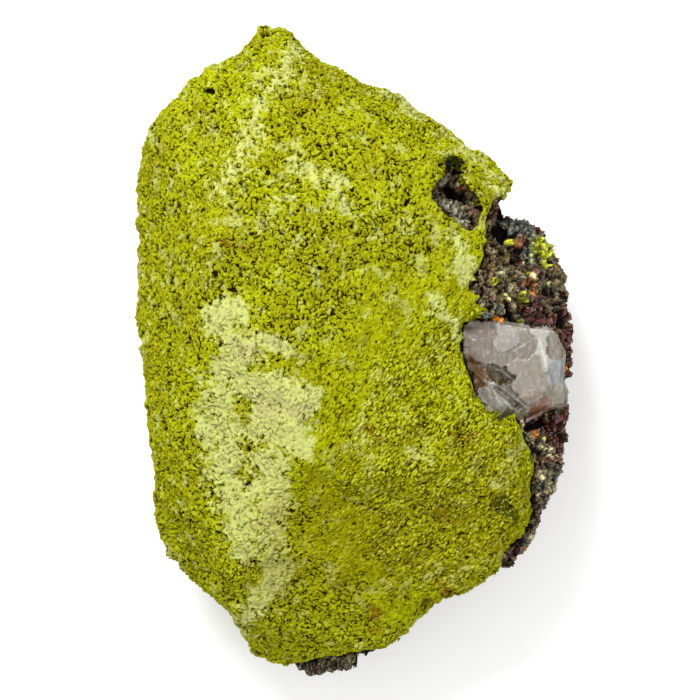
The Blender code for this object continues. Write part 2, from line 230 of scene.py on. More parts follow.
def crumb_at(at, seed):
    """A crumb's own number, its dome, its crevice (1 at its edge), and the number of that edge."""
    near, middles = noise.voronoi(at + Vector((seed, seed, seed)))
    edge = 1.0 - within(near[1] - near[0], 0.03, 0.26)
    return number_of(middles[0]), 1.0 - near[0] * near[0], edge, number_of(middles[0] + middles[1])


def along_streaks(at):
    """Squeezes space across the fine streaks, which run up to the right at 45 degrees."""
    along, across = (at.x + at.y) * math.sqrt(0.5), (at.y - at.x) * math.sqrt(0.5)
    return Vector((along / (STREAK * STREAK_LENGTH), across / STREAK, at.z / STREAK))


# Where the crust is streaked, most towards its lower right: middle, radius
STREAKED = ((18.0, -14.0), 30.0)

# Pale yellow or beige skins on the crust, along its spine and in spots: from, to, radius and strength
PALE = (
    ((-15.6, 5.2), (-17.4, 3.0), 2.3, 1.0),
    ((-14.5, 1.0), (-9.0, 1.0), 1.5, 1.0),
    ((-15.0, 0.4), (-16.4, -2.6), 2.6, 1.0),
    ((-13.5, -4.5), (-6.5, -6.0), 2.7, 1.0),
    ((-11.5, -9.5), (-7.0, -11.0), 3.3, 1.0),
    ((-17.5, -6.0), (-16.5, -16.5), 3.3, 0.85),
    ((-11.0, -14.5), (-10.0, -19.5), 3.0, 0.92),
    ((-15.0, -18.0), (-14.0, -25.0), 3.2, 0.82),
    ((-11.0, -22.0), (-10.0, -30.0), 2.6, 0.85),
    ((-11.8, -31.0), (-13.8, -35.0), 2.1, 0.7),
    ((-7.8, 38.5), (-11.3, 33.0), 2.0, 0.52),
    ((-11.7, 33.0), (-13.8, 26.0), 2.4, 0.55),
    ((-14.6, 25.4), (-17.0, 20.0), 2.2, 0.48),
    ((-12.0, 30.0), (-12.6, 28.4), 0.9, 0.75),
    ((-8.0, 24.0), (-2.6, 21.0), 1.5, 0.52),
    ((-2.6, 21.0), (-1.6, 17.6), 0.9, 0.6),
    ((-9.6, 20.0), (-8.0, 19.4), 0.8, 0.6),
    ((4.0, 33.6), (8.6, 30.4), 1.0, 0.55),
    ((11.4, 28.0), (16.8, 24.2), 1.0, 0.62),
    ((10.6, 5.8), (13.2, 2.2), 1.6, 0.58),
    ((12.6, 14.2), (15.0, 8.8), 1.7, 0.66),
    ((17.6, 22.8), (18.8, 20.2), 1.2, 0.5),
    ((0.8, -7.6), (2.2, -15.6), 1.0, 0.4),
    ((7.0, -13.0), (10.0, -14.5), 1.1, 0.55),
    ((18.2, -17.2), (22.0, -12.0), 1.0, 0.5),
    ((4.0, -30.5), (16.0, -28.6), 1.0, 0.35),
)

# Greyer beige in the middle of the large pale skin
BEIGE = (
    ((-11.6, -7.0), (-7.0, -8.0), 1.7, 1.0),
    ((-14.6, 0.0), (-13.0, -1.2), 1.2, 0.8),
    ((-10.5, 1.4), (-9.0, 1.2), 0.9, 0.8),
)

# Ochre and brown smears
OCHRE = (
    ((-16.8, 14.0), (-16.0, 13.0), 0.6, 1.0),
    ((-14.2, 12.4), (-12.4, 11.8), 0.8, 0.7),
    ((2.0, -10.4), (3.6, -11.0), 0.9, 0.7),
    ((10.8, -20.2), (12.6, -21.8), 1.2, 0.6),
    ((12.0, -11.5), (16.0, -10.5), 1.2, 0.5),
    ((2.2, -33.0), (2.6, -36.0), 1.1, 0.6),
    ((11.6, -31.0), (12.6, -31.2), 0.8, 1.2),
)

# A duller, darker olive all over the lower face, and small dark green stains
OLIVE = (((-4.0, -26.0), (16.0, -21.0), 12.5, 0.7), ((6.0, -12.0), (20.0, -14.0), 5.0, 0.4))
DARK_GREEN = (
    ((18.6, -19.1), (19.8, -20.0), 0.9, 0.75),
    ((20.3, -20.7), (21.0, -21.8), 0.9, 0.75),
    ((22.6, -13.2), (23.4, -14.0), 0.4, 0.8),
)

# Larger pits
DEEP_PITS = (
    ((-18.8, 33.2), (-18.0, 33.0), 0.42, 1.0),
    ((7.4, 28.9), (7.5, 28.8), 0.25, 1.0),
    ((6.6, 18.4), (6.9, 18.9), 0.30, 1.0),
    ((-9.1, -16.0), (-9.1, -16.2), 0.25, 1.0),
    ((-24.2, -15.5), (-24.2, -15.6), 0.30, 1.0),
    ((9.4, -33.2), (9.8, -32.8), 0.60, 1.0),
    ((15.2, -4.6), (15.7, -6.0), 0.45, 0.7),
    ((-11.9, 40.8), (-11.2, 41.0), 0.30, 0.9),
    ((-4.4, 10.4), (-4.2, 10.2), 0.25, 1.0),
    ((-3.0, 24.8), (-2.9, 24.7), 0.25, 1.0),
)

# How a mark ends: in a crisp border or in a soft one
CRISP, SOFT = (0.45, 0.70), (0.22, 0.90)


def mark_at(marks, at, ragged, edge=CRISP):
    """How fully a place is covered by some marks: all of a strong one, and scattered bits of a weak one."""
    best = 0.0
    for (x0, y0), (x1, y1), radius, strength in marks:
        run_x, run_y = x1 - x0, y1 - y0
        share = ((at.x - x0) * run_x + (at.y - y0) * run_y) / (run_x * run_x + run_y * run_y)
        share = max(0.0, min(1.0, share))
        away = math.hypot(at.x - x0 - share * run_x, at.y - y0 - share * run_y) / radius
        if away < 2.0:
            best = max(best, within(strength * (1.2 - away * away) + ragged, *edge))
    return best


# Colours that lie on the crust: where, what and how strongly
CRUST_COLOURS = {
    "olive": (OLIVE, (140, 126, 0), 0.35),
    "beige": (BEIGE, (168, 164, 112), 0.65),
    "ochre": (OCHRE, (122, 80, 10), 0.7),
    "moss": (DARK_GREEN, (36, 44, 12), 0.9),
}


def crumble(bm):
    """Raises the crumbs of the crust, and keeps its marks on its corners, with the crevices, pits and low
    places that take painted shade.
    """
    facing = bm.verts.layers.float_vector["facing"]
    shown = bm.verts.layers.float["shown"]
    keys = ("dark", "pale", "rise", "crumb", "streaked", *CRUST_COLOURS)
    layers = {key: bm.verts.layers.float.new(key) for key in keys}
    (streak_x, streak_y), streak_radius = STREAKED
    for v in bm.verts:
        if v[shown] < 0.01:
            continue
        at = v.co / MM
        side = 1.0 - within(v[facing].z, *STEEP)
        away = math.hypot(at.x - streak_x, at.y - streak_y)
        streaked = (1.0 - within(away, 0.5 * streak_radius, streak_radius)) * (1.0 - side)

        # Round crumbs, and narrow ones where the crust is streaked
        crumb = crumb_at(at / CRUMB, 3.7)
        grit = noise.noise(at / GRIT)
        if streaked > 0:
            drawn = along_streaks(at)
            crumb = [a + streaked * (b - a) for a, b in zip(crumb, crumb_at(drawn, 9.1))]
            grit += streaked * (noise.noise(drawn * STREAK / (0.8 * GRIT)) - grit)
        number, dome, edge, chance = crumb
        sand = noise.noise(at / SAND)

        # Pale skins and small pale blooms, with ragged borders
        ragged = 0.35 * noise.noise(at / 2.1) + 0.35 * noise.noise(at / 0.8)
        ragged = ragged + 0.45 * (number - 0.5) + 0.2 * grit
        blotch = noise.noise(at / 1.9) + 0.5 * noise.noise(at / 0.7) + 0.3 * (number - 0.5)
        bloom = 0.6 * within(blotch, 0.25, 0.6)
        spot = at + 1.2 * noise.noise_vector(at / 2.4) + 0.6 * noise.noise_vector(at / 0.8)
        pale = max(mark_at(PALE, spot, 1.3 * ragged, SOFT), bloom * (1.0 - 0.5 * streaked))

        # Crevices between some of the crumbs, pits, and gaps in the grit
        common = 0.57 - 0.01 * streaked - 0.3 * side - 0.3 * noise.noise(at / 4.0)
        deep = edge * within(chance, common, common + 0.22) * within(0.3 * sand + edge, 0.2, 0.6)
        near, middles = noise.voronoi(at / PIT_SPACING + Vector((5.0, 5.0, 5.0)))
        size = PIT * (0.6 + number_of(middles[0]))
        pit = 1.0 - within(near[0] + 0.05 * sand, 0.5 * size, size)
        pit *= within(number_of(middles[1]), 0.40, 0.41)
        named = mark_at(DEEP_PITS, at, 0.5 * sand) * within(v[facing].z, 0.05, 0.3)
        gap = within(-grit - 0.35 * sand, 0.24 - 0.1 * side, 0.50 - 0.1 * side)

        # The height over the even shell: swells, and the crumbs on them, lower under a pale skin
        swell = 0.42 * noise.noise(at / HUMP)
        swell += (0.34 + 0.3 * side) * noise.noise(at / LUMP + Vector((7.0, 1.0, 3.0)))
        swell -= 0.22 * side
        rise = CRUMB_HEIGHT * (0.8 * number + 0.6 * dome - 0.82) + 0.14 * grit + 0.05 * sand
        rise -= CREVICE * deep + PIT_DEPTH * pit + NAMED_PIT_DEPTH * named + 0.08 * gap
        rise *= 1.0 + 0.35 * side
        v.co += v[facing] * ((swell + (1.0 - 0.2 * pale) * rise) * v[shown] * MM)

        # How far a place is darkened as painted shade in its crevice, pit or gap, less under a pale skin
        dark = max(deep, pit, named, 0.75 * gap)
        v[layers["dark"]] = dark * (1.0 - 0.45 * pale) * (1.0 - 0.2 * streaked)
        v[layers["rise"]] = rise
        v[layers["crumb"]] = number
        v[layers["pale"]] = pale
        v[layers["streaked"]] = streaked
        for name, (marks, _, _) in CRUST_COLOURS.items():
            v[layers[name]] = mark_at(marks, spot, ragged)


def paint(red, green, blue):
    """A screen colour, 0 to 255, as the linear colour that a shader takes."""
    shares = [c / 255 for c in (red, green, blue)]
    return (*[s / 12.92 if s < 0.04045 else ((s + 0.055) / 1.055) ** 2.4 for s in shares], 1.0)


def node(material, kind, inputs=None, **settings):
    """Adds a shader node. An input is given a value, or another node's output."""
    made = material.node_tree.nodes.new(kind)
    for name, value in settings.items():
        setattr(made, name, value)
    for name, value in (inputs or {}).items():
        if isinstance(value, bpy.types.NodeSocket):
            material.node_tree.links.new(value, made.inputs[name])
        else:
            made.inputs[name].default_value = value
    return made


def place(material, turn=0.0, drawn_out=1.0):
    """Coordinates on the piece, in millimetres. A pattern on them is drawn out at an angle about Z."""
    where = node(material, "ShaderNodeTexCoord").outputs["Object"]
    mapping = node(material, "ShaderNodeMapping", {"Vector": where}, vector_type="TEXTURE")
    mapping.inputs["Rotation"].default_value = (0.0, 0.0, math.radians(turn))
    mapping.inputs["Scale"].default_value = (drawn_out * MM, MM, MM)
    return mapping.outputs["Vector"]


def grain(material, where, size, detail=2.0, roughness=0.5):
    """Soft noise with features of a size in millimetres, 0 to 1."""
    values = {"Vector": where, "Scale": 1 / size, "Detail": detail, "Roughness": roughness}
    return node(material, "ShaderNodeTexNoise", values).outputs["Fac"]


def ramp(material, value, low, high):
    """0 where value is low, 1 where it is high."""
    values = {"Value": value, "From Min": low, "From Max": high}
    return node(material, "ShaderNodeMapRange", values, interpolation_type="SMOOTHSTEP").outputs["Result"]


def spread(material, value, low, high):
    """A value of 0 to 1, moved to between low and high."""
    values = {"Value": value, "To Min": low, "To Max": high}
    return node(material, "ShaderNodeMapRange", values).outputs["Result"]


def maths(material, operation, a, b=0.0):
    return node(material, "ShaderNodeMath", {0: a, 1: b}, operation=operation).outputs["Value"]


def times(material, a, b):
    return maths(material, "MULTIPLY", a, b)


def blend(material, share, a, b):
    """Colour a, or b where share is 1."""
    made = material.node_tree.nodes.new("ShaderNodeMix")
    made.data_type = "RGBA"
    for key, value in zip((0, 6, 7), (share, a, b)):
        if isinstance(value, bpy.types.NodeSocket):
            material.node_tree.links.new(value, made.inputs[key])
        else:
            made.inputs[key].default_value = value
    return made.outputs[2]


def on_piece(material, name):
    """A value that is kept on the piece's own corners."""
    return node(material, "ShaderNodeAttribute", attribute_name=name).outputs["Fac"]


def clay():
    """Matt yellow-green clay: brighter crumbs, painted shade of olive in the low places between them, and
    painted shade near black in its crevices and pits.
    """
    material, shader = matt("nontronite clay", roughness=0.95, specular=0.0)
    where = place(material)
    patch = ramp(material, grain(material, where, 8.0, 3.0), 0.38, 0.64)
    mottle = ramp(material, grain(material, where, 3.0, 4.0, 0.65), 0.50, 0.66)
    streaked, pale = on_piece(material, "streaked"), on_piece(material, "pale")
    drawn = grain(material, place(material, 45, 2.0), 0.26, 3.0, 0.65)
    dust = blend(material, streaked, grain(material, where, 0.22, 2.0, 0.6), drawn)
    bright = ramp(material, dust, 0.52, 0.66)
    dull = ramp(material, dust, 0.47, 0.34)
    # Painted shade: the lower a place lies among the crumbs, the darker olive its colour
    hollow_shade = ramp(material, on_piece(material, "rise"), 0.10, -0.16)
    colour = blend(material, patch, paint(156, 163, 0), paint(141, 142, 0))
    colour = blend(material, times(material, on_piece(material, "crumb"), 0.35), colour, paint(170, 178, 14))
    colour = blend(material, times(material, pale, 0.80), colour, paint(192, 197, 126))
    mottle = times(material, mottle, spread(material, streaked, 0.32, 0.60))
    mottle = times(material, mottle, spread(material, pale, 1.0, 0.4))
    colour = blend(material, mottle, colour, paint(112, 98, 0))
    for name, (_, mark_colour, strength) in CRUST_COLOURS.items():
        colour = blend(material, times(material, on_piece(material, name), strength), colour, paint(*mark_colour))
    # Painted shade in low places, weaker under a pale skin
    shade = times(material, hollow_shade, spread(material, pale, 0.58, 0.20))
    colour = blend(material, shade, colour, paint(104, 99, 0))
    dull = times(material, dull, spread(material, streaked, 0.40, 0.90))
    dull = times(material, dull, spread(material, pale, 1.0, 0.5))
    colour = blend(material, dull, colour, paint(76, 68, 0))
    bright = times(material, bright, spread(material, streaked, 0.42, 0.68))
    colour = blend(material, bright, colour, paint(214, 219, 88))
    # Painted shade: near black in crevices and pits
    colour = blend(material, ramp(material, on_piece(material, "dark"), 0.15, 0.85), colour, paint(32, 26, 0))
    material.node_tree.links.new(colour, shader.inputs["Base Color"])
    bump = node(material, "ShaderNodeBump", {"Strength": 0.6, "Distance": 0.08 * MM, "Height": dust})
    material.node_tree.links.new(bump.outputs["Normal"], shader.inputs["Normal"])
    return material


def finish(obj, material, stands_for):
    """Gives a piece its finish, and its place in the frame."""
    obj.data.shade_smooth()
    obj.data.materials.append(material)
    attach(obj, "root")
    if stands_for:
        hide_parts(stands_for)


trees = {name: BVHTree.FromBMesh(joined_copy(name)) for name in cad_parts}
crust = evenly_meshed(joined_copy("nontronite_crust"), CRUST_STEP, rounds=3)
note_visible(crust, (trees["matrix_rock"], trees["quartz_grain"]), HIDDEN)
clay_finish = clay()
for name, cuts in CRUST_PIECES.items():
    bm = cut_piece(crust, cuts)
    refine(bm, 1, lambda at, facing, shown: shown)
    refine(bm, 1, lambda at, facing, shown: shown and facing.z > FRONT)
    crumble(bm)
    finish(add_object(name, bm), clay_finish, "nontronite_crust")
crust.free()


# The rock that the crust grew on: a dark, rusty mass of small crystals and fibres. It shows down the
# right side, in the hole near the top, at the bottom tip and all over the back, and is full of voids.
ROCK_STEP = 0.65 * MM
ROCK_SIDE = 8.0  # height in millimetres above which the bare rock is seen from above
ROCK_HIDDEN = 0.45 * MM  # rock that faces the crust or the quartz closer than this is out of sight
UNDERSIDE = -0.8  # rock that faces down more than this bears no marks
CRYSTAL, CHIP = 1.2, 0.5  # widths of its crystals, and of the chips on them
# Black, void and notch are near black as painted shade in holes and hollows; shade is painted shade where the
# rock is out of sight
ROCK_COLOURS = {
    "brown": (98, 80, 46), "umber": (58, 40, 24), "beige": (176, 166, 124), "grey": (118, 116, 100),
    "slate": (62, 72, 68), "pink": (122, 88, 72), "red": (72, 20, 14), "rust": (122, 70, 24),
    "orange": (178, 104, 16), "green": (166, 170, 16), "pale": (192, 198, 118), "black": (12, 5, 4),
    "void": (16, 8, 6), "knob": (60, 48, 26), "shade": (34, 22, 14), "notch": (16, 8, 6),
}

# What lies where on the bare rock: from, to, radius and strength
ROCK_MARKS = {
    "brown": (
        ((18.5, 12.5), (20.0, 7.0), 2.4, 0.8), ((25.9, 10.4), (26.8, 8.6), 1.2, 0.9),
        ((14.2, 19.2), (16.0, 17.2), 1.6, 0.8),
    ),
    "umber": (
        ((25.0, 6.0), (27.8, 2.0), 1.4, 0.9), ((24.6, -19.4), (24.4, -22.6), 1.2, 0.8),
    ),
    "beige": (
        ((19.0, 10.0), (19.6, 8.0), 1.1, 0.6), ((24.8, -16.2), (25.3, -17.8), 1.2, 0.9),
        ((25.3, -12.8), (26.4, -14.2), 1.0, 0.7), ((20.3, 6.4), (20.8, 4.4), 0.35, 1.0),
        ((26.4, 7.6), (26.3, 6.2), 0.4, 0.8), ((-4.0, -41.2), (-1.0, -40.6), 0.8, 0.8),
    ),
    "grey": (
        ((10.4, 21.2), (11.6, 22.0), 0.8, 0.9), ((9.6, 19.4), (12.0, 18.6), 1.0, 0.7),
        ((14.4, 26.0), (15.2, 25.6), 0.8, 0.9), ((25.0, -9.8), (24.5, -11.4), 0.5, 0.9),
        ((13.0, 18.6), (14.0, 16.6), 0.9, 0.7),
    ),
    "slate": (
        ((19.0, 16.2), (20.6, 15.2), 0.9, 1.0), ((20.8, 16.6), (22.4, 15.4), 1.1, 1.0),
        ((22.3, 12.6), (22.5, 11.4), 0.8, 1.0), ((24.6, 14.4), (25.5, 12.6), 0.5, 1.0),
        ((18.4, 5.2), (19.1, 4.8), 0.6, 1.0), ((24.3, -17.6), (24.5, -18.0), 0.5, 1.0),
    ),
    "pink": (
        ((14.9, 18.2), (15.9, 17.0), 0.8, 0.9), ((17.1, 6.9), (17.4, 6.4), 0.6, 1.0),
        ((23.4, 10.4), (23.8, 10.0), 0.6, 0.6),
    ),
    "red": (
        ((22.8, 5.0), (25.6, 3.4), 1.5, 1.0), ((27.6, 8.0), (27.4, 7.0), 0.35, 1.0),
        ((27.7, 5.0), (28.4, -5.0), 1.1, 1.0), ((25.6, -10.6), (27.6, -8.6), 1.3, 1.0),
        ((26.2, -11.0), (26.4, -13.0), 0.9, 0.7), ((23.0, 6.6), (23.6, 6.4), 0.6, 1.0),
    ),
    "rust": (
        ((22.4, 8.6), (23.0, 8.2), 0.9, 1.0), ((26.7, 2.6), (27.4, -1.0), 0.4, 1.0),
        ((27.3, -1.0), (27.9, -5.0), 0.5, 0.9), ((13.9, 20.7), (14.4, 20.2), 0.5, 1.0),
        ((20.8, 13.7), (21.3, 13.7), 0.5, 0.9), ((22.1, -25.6), (22.4, -25.9), 0.5, 1.0),
    ),
    "orange": (
        ((18.0, 3.8), (18.6, 3.8), 0.5, 1.0), ((22.9, 7.4), (23.5, 7.2), 0.4, 1.0),
        ((23.2, -11.0), (23.6, -11.0), 0.5, 1.0), ((27.5, -2.0), (27.6, -3.2), 0.3, 1.0),
    ),
    # Hollows under the crust's nub and at the bottom tip, lowered and painted near black as shade
    "void": (
        ((20.6, 21.6), (20.8, 18.6), 2.0, 1.0), ((1.6, -40.4), (6.0, -39.0), 1.8, 1.0),
    ),
    "notch": (
        ((20.2, 19.6), (21.4, 18.2), 1.7, 1.3),
    ),
    "knob": (
        ((-5.2, -41.6), (-1.6, -41.4), 1.5, 0.8),
    ),
    # Small holes, and gaps along the crust's edge, lowered and painted black as shade
    "black": (
        ((18.8, 18.4), (19.0, 16.8), 0.6, 1.0), ((18.4, 15.2), (19.2, 14.2), 0.9, 1.0),
        ((18.1, 13.2), (18.2, 13.0), 0.4, 1.0), ((12.2, 20.2), (14.0, 19.7), 0.8, 1.0),
        ((13.2, 24.4), (13.2, 22.6), 0.5, 1.0), ((19.7, 5.4), (19.7, 3.8), 0.6, 1.0),
        ((25.9, 7.1), (25.9, 6.7), 0.35, 1.0), ((26.6, 4.2), (27.2, 3.0), 0.6, 1.0),
        ((22.6, -9.9), (24.8, -9.4), 0.7, 1.0), ((23.6, -13.2), (24.2, -13.2), 0.6, 1.0),
        ((20.6, 11.3), (20.8, 11.1), 0.4, 1.0), ((23.4, -18.0), (23.5, -18.2), 0.3, 1.0),
    ),
    "green": (
        ((20.0, 14.0), (20.1, 13.6), 0.45, 1.0), ((23.6, 13.6), (24.8, 12.4), 1.1, 1.0),
        ((24.6, 11.6), (24.6, 10.7), 0.45, 1.0), ((18.0, 9.0), (18.1, 8.4), 0.3, 1.0),
        ((21.8, 7.1), (22.0, 6.6), 0.6, 1.0), ((21.1, 3.7), (21.6, 3.7), 0.35, 1.0),
        ((22.2, 10.0), (22.5, 9.9), 0.25, 1.0),
    ),
    "pale": (
        ((25.0, 13.8), (25.4, 12.9), 0.4, 1.0), ((22.7, 14.2), (23.1, 11.2), 0.3, 0.9),
        ((25.4, 8.5), (25.6, 8.3), 0.4, 1.0), ((24.2, -11.3), (24.7, -12.0), 0.35, 0.8),
        ((19.4, 7.0), (19.6, 6.6), 0.25, 1.0),
    ),
}

# The colours of its crystals where no mark lies
COMMON = ("brown", "umber", "brown", "grey", "umber", "beige", "red", "slate", "red", "umber")

# How far the marks stand out, in millimetres, and which are free of strands and voids
LIFTS = {"black": -0.8, "void": -1.6, "notch": -3.2, "green": 0.30, "pale": 0.12, "knob": 0.5}
BARE = {"green": 1.0, "pale": 1.0, "black": 1.0, "void": 1.0, "notch": 1.0, "orange": 0.7}


def facets_at(at, size):
    """Angular crystals: the height of a place in its own tilted crystal, its border, and its number."""
    near, middles = noise.voronoi(at / size)
    number = number_of(middles[0])
    lean = Vector((number - 0.5, number_of(middles[0] + Vector((9.0, 0.0, 0.0))) - 0.5, 0.5 - number))
    height = number - 0.5 + 1.6 * lean.dot(at / size - middles[0])
    return height, 1.0 - within(near[1] - near[0], 0.02, 0.20), number, number_of(middles[0] + middles[1])


def roughen(bm):
    """Breaks the bare rock into crystals, fibres and voids, and keeps its colours on its corners, with
    painted highlight where its chips stand high and painted shade in its cracks, voids and hollows and where
    it is out of sight.
    """
    facing = bm.verts.layers.float_vector["facing"]
    shown = bm.verts.layers.float["shown"]
    tint = bm.verts.layers.float_color.new("tint")
    palette = {name: Vector(paint(*colour)[:3]) for name, colour in ROCK_COLOURS.items()}
    common = [palette[name] for name in COMMON]
    for v in bm.verts:
        at = v.co / MM
        if v[shown] < 0.01:
            v[tint] = (*palette["shade"], 1.0)
            continue
        bent = at + 0.4 * noise.noise_vector(at / 0.9)
        crystal, edge, number, chance = facets_at(bent, CRYSTAL)
        chip, chip_edge, chip_number, chip_chance = facets_at(bent, CHIP)
        strand = 1.0 - within(abs(noise.noise(bent / 0.8 + Vector((3.3, 1.7, 8.1)))), 0.03, 0.10)
        strand *= within(noise.noise(at / 1.7 + Vector((4.4, 2.2, 1.1))), -0.25, 0.05)
        void = within(-noise.noise(bent / 1.1 + Vector((6.6, 3.1, 0.4))), 0.30, 0.42)
        crack = max(edge * within(chance, 0.3, 0.5), 0.8 * chip_edge * within(chip_chance, 0.5, 0.7))
        ragged = 0.25 * noise.noise(at / 0.8) + 0.35 * (chip_number - 0.5)
        colour = common[int(number * (len(common) - 0.01))].copy()
        rise = 0.6 * crystal + 0.28 * chip + 0.22 * strand - 0.30 * crack - 0.55 * void
        if v[facing].z > UNDERSIDE:
            for name, marks in ROCK_MARKS.items():
                cover = mark_at(marks, at, ragged)
                if cover > 0:
                    colour = colour.lerp(palette[name], cover)
                    rise += cover * LIFTS.get(name, 0.0)
                    strand, void = (value * (1.0 - cover * BARE.get(name, 0.0)) for value in (strand, void))
        # Each chip has its own tone, made lighter where it stands high as a painted highlight; cracks and
        # voids are painted near black as shade
        colour = colour * (0.15 + 1.9 * chip_number) * (1.0 + 1.2 * max(0.0, chip))
        colour = colour.lerp(palette["beige"], 0.7 * strand) * (1.0 - 0.95 * max(crack, void))
        v.co += v[facing] * (rise * v[shown] * MM)
        v.co.z = max(0.0, v.co.z)
        v[tint] = (*colour, 1.0)


def tinted(material, name):
    """A colour that is kept on the piece's own corners."""
    return node(material, "ShaderNodeAttribute", attribute_name=name).outputs["Color"]


def rusty_stone():
    """Dull dark stone with small glints where its crystals are smooth."""
    material, shader = matt("rusty stone", roughness=0.7, specular=0.12)
    where = place(material)
    dust = ramp(material, grain(material, where, 0.22, 3.0, 0.6), 0.36, 0.66)
    thread = ramp(material, grain(material, place(material, 55, 3.5), 0.24, 2.0), 0.58, 0.72)
    wave = maths(material, "ABSOLUTE", maths(material, "SUBTRACT", grain(material, where, 0.9, 2.0), 0.5))
    wisp = ramp(material, wave, 0.030, 0.010)
    wisp = times(material, wisp, ramp(material, grain(material, where, 2.2), 0.42, 0.55))
    tint = tinted(material, "tint")
    # Light threads and wisps stay off the near-black painted shade
    lit = ramp(material, tint, 0.006, 0.05)
    colour = blend(material, times(material, dust, 0.5), tint, paint(12, 3, 2))
    colour = blend(material, times(material, times(material, thread, lit), 0.6), colour, paint(196, 188, 156))
    colour = blend(material, times(material, times(material, wisp, lit), 0.5), colour, paint(190, 184, 150))
    material.node_tree.links.new(colour, shader.inputs["Base Color"])
    material.node_tree.links.new(spread(material, dust, 0.35, 0.85), shader.inputs["Roughness"])
    bump = node(material, "ShaderNodeBump", {"Strength": 0.7, "Distance": 0.10 * MM, "Height": dust})
    material.node_tree.links.new(bump.outputs["Normal"], shader.inputs["Normal"])
    return material


rock = evenly_meshed(joined_copy("matrix_rock"), ROCK_STEP, rounds=2)
note_visible(rock, (trees["nontronite_crust"], trees["quartz_grain"]), ROCK_HIDDEN)


def from_above(at, facing, shown):
    return shown and facing.z > 0.1 and at.z > ROCK_SIDE


refine(rock, 3, from_above)
refine(rock, 1, lambda at, facing, shown: shown and facing.z > -0.9 and not from_above(at, facing, shown))
roughen(rock)
rock_surface = BVHTree.FromBMesh(rock)
finish(add_object("rock", rock), rusty_stone(), "matrix_rock")


# Garnets: dark red crystals with twelve flat faces each, grown in the rock along its right edge, and
# smaller ones elsewhere. They are joined in one mesh.
LOWEST = 6 * MM  # no garnet is set in the rock below this height
ABOVE = 50.0  # a height over all of the specimen

# Where they are: from, to, how far they scatter, how many, and the widest in millimetres
GARNET_BEDS = (
    ((22.6, 4.8), (25.8, 3.2), 1.3, 34, 1.3),
    ((27.4, 4.5), (28.4, -4.5), 0.6, 30, 1.0),
    ((25.2, -9.6), (27.4, -8.6), 0.8, 16, 1.6),
    ((25.2, -11.0), (26.6, -15.0), 1.0, 20, 1.0),
    ((24.6, -18.6), (23.8, -22.8), 0.8, 12, 0.9),
    ((23.0, 6.7), (23.6, 6.4), 0.4, 5, 0.9),
    ((20.0, 10.0), (25.0, 8.0), 2.5, 12, 0.7),
    ((-5.0, -41.0), (2.0, -40.4), 0.6, 8, 0.8),
)


def add_garnet(bm, middle, width, turn):
    """A cube with a low pyramid on each side, which gives the twelve faces."""
    cube = bmesh.ops.create_cube(bm, size=width / 2, matrix=Matrix.Translation(middle) @ turn)
    sides = list({face for v in cube["verts"] for face in v.link_faces})
    bmesh.ops.poke(bm, faces=sides, offset=width / 4)


def garnet_glass():
    """Dark red and glassy, a little paler where it is chipped."""
    material, shader = matt("garnet", roughness=0.2, specular=0.6)
    where = place(material)
    chips = ramp(material, grain(material, where, 0.5, 3.0), 0.42, 0.70)
    colour = blend(material, chips, paint(46, 8, 8), paint(104, 34, 26))
    material.node_tree.links.new(colour, shader.inputs["Base Color"])
    material.node_tree.links.new(spread(material, chips, 0.14, 0.5), shader.inputs["Roughness"])
    return material


draw = random.Random(7)
bm = bmesh.new()
for (x0, y0), (x1, y1), scatter, number, widest in GARNET_BEDS:
    for _ in range(number):
        share = draw.random()
        x = x0 + share * (x1 - x0) + draw.gauss(0.0, scatter / 2)
        y = y0 + share * (y1 - y0) + draw.gauss(0.0, scatter / 2)
        width = widest * draw.uniform(0.45, 1.0) * MM
        turn = Euler([draw.uniform(0.0, math.tau) for _ in range(3)]).to_matrix().to_4x4()
        middle = rock_surface.ray_cast(Vector((x, y, ABOVE)) * MM, Vector((0.0, 0.0, -1.0)))[0]
        if middle and middle.z > LOWEST:
            add_garnet(bm, middle - Vector((0.0, 0.0, 0.25 * width)), width, turn)
garnets = add_object("garnets", bm)
finish(garnets, garnet_glass(), None)
garnets.data.shade_flat()


# The quartz grain: a blocky, milky grain set in the rock. It broke in flat and shell-shaped faces, and
# is stained brown along its left edge.
GRAIN_STEP = 0.28 * MM
GRAIN_SIDE = 20.0  # height in millimetres above which the grain is seen from above
GRAIN_HIDDEN = 0.6 * MM  # a side that faces the rock closer than this is out of sight

